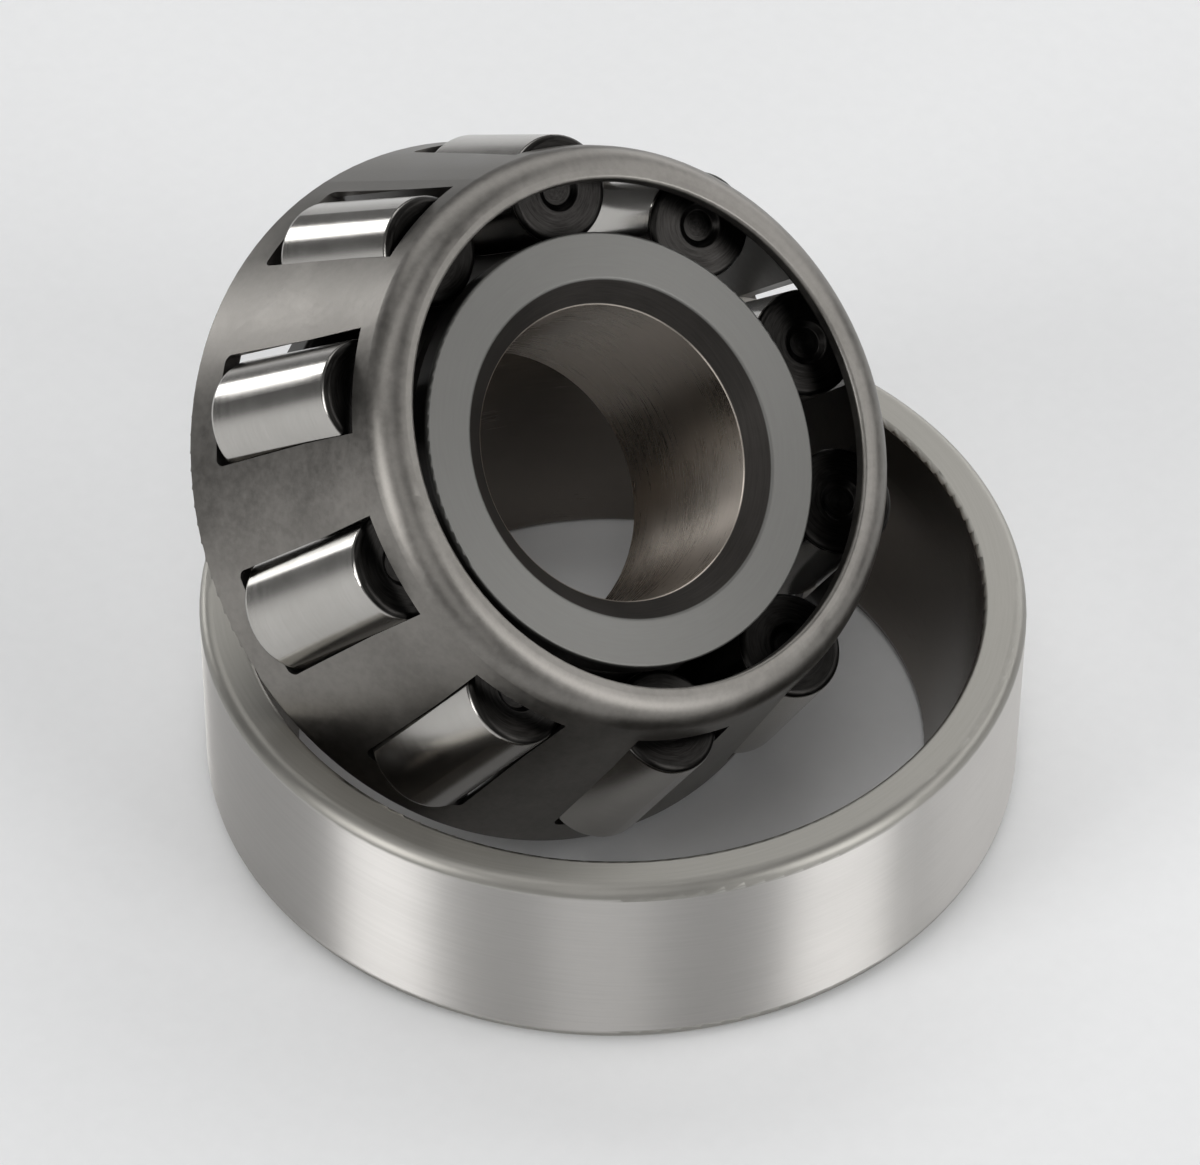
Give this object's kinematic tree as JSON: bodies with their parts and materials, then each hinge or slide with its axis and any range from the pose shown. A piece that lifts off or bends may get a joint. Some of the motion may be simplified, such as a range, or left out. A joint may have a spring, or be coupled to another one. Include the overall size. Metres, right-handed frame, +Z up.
{
  "type": "tapered roller bearing",
  "caption": "Separable tapered roller bearing: outer ring lying flat, inner ring with caged tapered rollers leaning inside it.",
  "frame": {"origin": "centre of the outer ring's back face, on the surface that it lies on", "axes": "+Z up the outer ring's axis, from its back face to its open front; the inner ring's axis leans from +Z towards +X"},
  "size_m": [0.042, 0.042, 0.0324],
  "materials": {
    "outer_ring_steel": "ground",
    "inner_ring_steel": "ground",
    "cage_steel": "pressed, satin",
    "roller_steel": "ground and polished"
  },
  "bodies": {
    "outer_ring": {"outer_ring": "outer_ring_steel"},
    "cage": {"cage": "cage_steel"},
    "inner_ring": {"inner_ring": "inner_ring_steel"},
    "roller_01": {"roller_01": "roller_steel"},
    "roller_02": {"roller_02": "roller_steel"},
    "roller_03": {"roller_03": "roller_steel"},
    "roller_04": {"roller_04": "roller_steel"},
    "roller_05": {"roller_05": "roller_steel"},
    "roller_06": {"roller_06": "roller_steel"},
    "roller_07": {"roller_07": "roller_steel"},
    "roller_08": {"roller_08": "roller_steel"},
    "roller_09": {"roller_09": "roller_steel"},
    "roller_10": {"roller_10": "roller_steel"}
  },
  "joints": [
    {"name": "cone_lift", "type": "slide", "parent": "outer_ring", "child": "cage", "axis": [0, 0, 1], "range_m": [0, 0.04]},
    {"name": "inner_ring_spin", "type": "hinge", "parent": "cage", "child": "inner_ring", "pos_m": [-0.00796, -0.00036, 0.01209], "axis": [0.6845, 0, 0.729], "continuous": true},
    {"name": "roller_01_spin", "type": "hinge", "parent": "cage", "child": "roller_01", "pos_m": [-0.01682, -0.00346, 0.02452], "axis": [0.8146, 0.041, 0.5786], "continuous": true},
    {"name": "roller_02_spin", "type": "hinge", "parent": "cage", "child": "roller_02", "pos_m": [-0.0134, -0.01168, 0.02131], "axis": [0.7694, 0.1495, 0.621], "continuous": true},
    {"name": "roller_03_spin", "type": "hinge", "parent": "cage", "child": "roller_03", "pos_m": [-0.00702, -0.01558, 0.01532], "axis": [0.6852, 0.2009, 0.7001], "continuous": true},
    {"name": "roller_04_spin", "type": "hinge", "parent": "cage", "child": "roller_04", "pos_m": [-0.00016, -0.01347, 0.00888], "axis": [0.5946, 0.1731, 0.7852], "continuous": true},
    {"name": "roller_05_spin", "type": "hinge", "parent": "cage", "child": "roller_05", "pos_m": [0.00441, -0.00615, 0.00458], "axis": [0.5342, 0.0764, 0.8419], "continuous": true},
    {"name": "roller_06_spin", "type": "hinge", "parent": "cage", "child": "roller_06", "pos_m": [0.0049, 0.00339, 0.00412], "axis": [0.5277, -0.0495, 0.848], "continuous": true},
    {"name": "roller_07_spin", "type": "hinge", "parent": "cage", "child": "roller_07", "pos_m": [0.00124, 0.01138, 0.00756], "axis": [0.5761, -0.155, 0.8025], "continuous": true},
    {"name": "roller_08_spin", "type": "hinge", "parent": "cage", "child": "roller_08", "pos_m": [-0.00506, 0.01489, 0.01348], "axis": [0.6593, -0.2014, 0.7244], "continuous": true},
    {"name": "roller_09_spin", "type": "hinge", "parent": "cage", "child": "roller_09", "pos_m": [-0.01163, 0.01277, 0.01964], "axis": [0.746, -0.1733, 0.643], "continuous": true},
    {"name": "roller_10_spin", "type": "hinge", "parent": "cage", "child": "roller_10", "pos_m": [-0.0161, 0.00583, 0.02385], "axis": [0.8051, -0.0817, 0.5875], "continuous": true}
  ],
  "couplings": [
    {"joint": "roller_01_spin", "follows": "inner_ring_spin", "ratio": -3.9412},
    {"joint": "roller_02_spin", "follows": "inner_ring_spin", "ratio": -3.9412},
    {"joint": "roller_03_spin", "follows": "inner_ring_spin", "ratio": -3.9412},
    {"joint": "roller_04_spin", "follows": "inner_ring_spin", "ratio": -3.9412},
    {"joint": "roller_05_spin", "follows": "inner_ring_spin", "ratio": -3.9412},
    {"joint": "roller_06_spin", "follows": "inner_ring_spin", "ratio": -3.9412},
    {"joint": "roller_07_spin", "follows": "inner_ring_spin", "ratio": -3.9412},
    {"joint": "roller_08_spin", "follows": "inner_ring_spin", "ratio": -3.9412},
    {"joint": "roller_09_spin", "follows": "inner_ring_spin", "ratio": -3.9412},
    {"joint": "roller_10_spin", "follows": "inner_ring_spin", "ratio": -3.9412}
  ]
}
